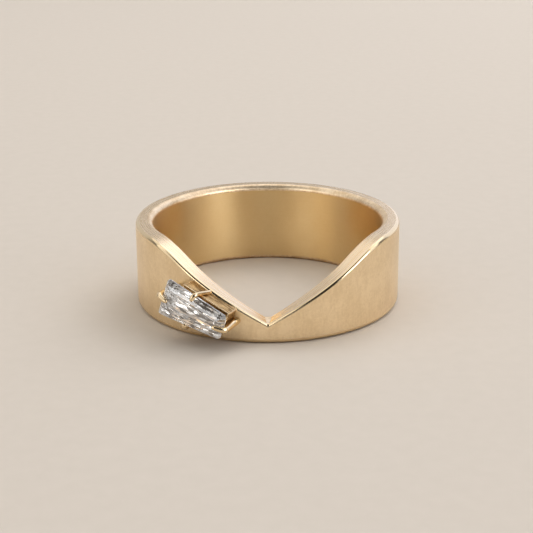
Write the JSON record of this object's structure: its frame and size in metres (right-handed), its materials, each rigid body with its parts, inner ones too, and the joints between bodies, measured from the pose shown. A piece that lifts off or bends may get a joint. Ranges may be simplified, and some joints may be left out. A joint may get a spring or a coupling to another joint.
{
  "type": "chevron ring with a tapered stone",
  "caption": "Finger ring: a wide plain gold band whose rim dips to a point at the front, with a tapered baguette stone held by claws beside the point.",
  "frame": {"origin": "on the axis of the finger hole, level with the flat lower edge that the ring rests on when it lies on its side", "axes": "+Z runs along the finger hole, from the resting edge to the rim with the notch; -Y points out of the band at the point of the notch, and the stone lies on the -X side of it"},
  "size_m": [0.0198, 0.0216, 0.0063],
  "materials": {
    "yellow_gold": "satin, finely brushed, with polished edges",
    "clear_stone": "cut and polished"
  },
  "bodies": {
    "root": {"band_with_setting": "yellow_gold", "stone": "clear_stone"}
  },
  "joints": []
}
